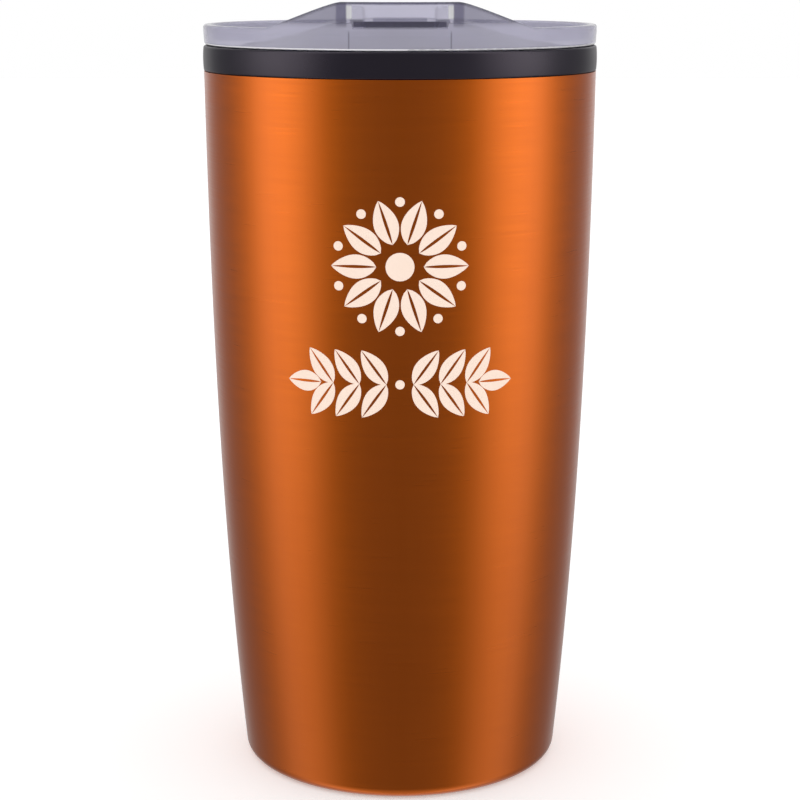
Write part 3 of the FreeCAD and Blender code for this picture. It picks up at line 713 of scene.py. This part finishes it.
studio = {
    # light from each direction round the tumbler, in degrees from the drinking side
    "around": [(0, 0.13), (3, 0.21), (10, 0.235), (28, 0.24), (36, 0.25), (42, 0.36), (49, 0.80),
               (56, 1.25), (65, 1.75), (76, 2.0), (86, 1.65), (96, 0.80), (106, 0.38), (118, 0.27),
               (132, 0.30), (146, 0.55), (160, 0.85), (180, 0.9)],
    "brightest": 2.1, "plain": 0.235, "lowShare": 0.36, "lowSlope": -0.5, "highSlope": 0.02,
    "bounce": 0.28, "bounceSlope": -0.62, "bounceFull": -0.88,      # light back from the table
    "backdrop": 1.0, "floorSize": 6.0, "floorPaper": (0.84, 0.84, 0.84, 1), "floorGlow": 0.32,
    "cameraAt": (0, -0.4647, 0.1816), "cameraDown": 0.2079, "lens": 92.0, "filmWidth": 36,
}


def studioLight():
    s = studio
    world = bpy.data.worlds.new("studioLight")
    bpy.context.scene.world = world
    world.use_nodes = True
    tree = world.node_tree
    tree.nodes.clear()
    split = addNode(tree, "ShaderNodeSeparateXYZ")
    feed(tree, split.inputs[0], addNode(tree, "ShaderNodeTexCoord").outputs["Generated"])
    across, along, up = split.outputs
    turned = calc(tree, "ARCTAN2", calc(tree, "ABSOLUTE", across), calc(tree, "MULTIPLY", along, -1.0))
    curve = addNode(tree, "ShaderNodeFloatCurve")
    line = curve.mapping.curves[0]
    spots = [(angle / 180, light / s["brightest"]) for angle, light in s["around"]]
    line.points[0].location = spots[0]
    line.points[1].location = spots[-1]
    for spot in spots[1:-1]:
        line.points.new(*spot)
    curve.mapping.update()
    feed(tree, curve.inputs["Value"], calc(tree, "DIVIDE", turned, math.pi))
    light = calc(tree, "MULTIPLY", curve.outputs[0], s["brightest"])
    share = ease(tree, up, s["lowSlope"], s["highSlope"], s["lowShare"], 1.0)
    light = calc(tree, "MULTIPLY_ADD", calc(tree, "SUBTRACT", light, s["plain"]), share, s["plain"])
    light = calc(tree, "ADD", light, ease(tree, up, s["bounceFull"], s["bounceSlope"], s["bounce"], 0.0))
    room = addNode(tree, "ShaderNodeBackground")
    feed(tree, room.inputs["Strength"], light)
    white = addNode(tree, "ShaderNodeBackground")
    white.inputs["Color"].default_value = (1, 1, 1, 1)
    white.inputs["Strength"].default_value = s["backdrop"]
    path = addNode(tree, "ShaderNodeLightPath")
    # mirror-like reflections see the room; light through clear plastic sees the backdrop
    mirror = addNode(tree, "ShaderNodeMath", operation="SUBTRACT", use_clamp=True)
    feed(tree, mirror.inputs[0], path.outputs["Is Glossy Ray"])
    feed(tree, mirror.inputs[1], path.outputs["Is Transmission Ray"])
    mix = addNode(tree, "ShaderNodeMixShader")
    feed(tree, mix.inputs[0], mirror.outputs[0])
    tree.links.new(white.outputs[0], mix.inputs[1])
    tree.links.new(room.outputs[0], mix.inputs[2])
    out = addNode(tree, "ShaderNodeOutputWorld")
    tree.links.new(mix.outputs[0], out.inputs["Surface"])


def paleFloor():
    s = studio
    half = s["floorSize"] / 2
    corners = [(-half, -half, 0), (half, -half, 0), (half, half, 0), (-half, half, 0)]
    mesh = bpy.data.meshes.new("floor")
    mesh.from_pydata(corners, [], [(0, 1, 2, 3)])
    floor = bpy.data.objects.new("floor", mesh)
    bpy.context.scene.collection.objects.link(floor)
    paper = {"Base Color": s["floorPaper"], "Roughness": 0.9,
             "Emission Color": (1, 1, 1, 1), "Emission Strength": s["floorGlow"]}
    mesh.materials.append(startMaterial("floorPaper", paper)[0])
    floor.visible_glossy = False


def placeCamera():
    s = studio
    lens = bpy.data.cameras.new("camera")
    camera = bpy.data.objects.new("camera", lens)
    bpy.context.scene.collection.objects.link(camera)
    bpy.context.scene.camera = camera
    lens.sensor_width = s["filmWidth"]
    lens.lens = s["lens"]
    camera.location = s["cameraAt"]
    camera.rotation_euler = (math.pi / 2 - s["cameraDown"], 0, 0)


studioLight()
paleFloor()
placeCamera()
bpy.context.scene.view_settings.view_transform = "Standard"
print("studio is lit")
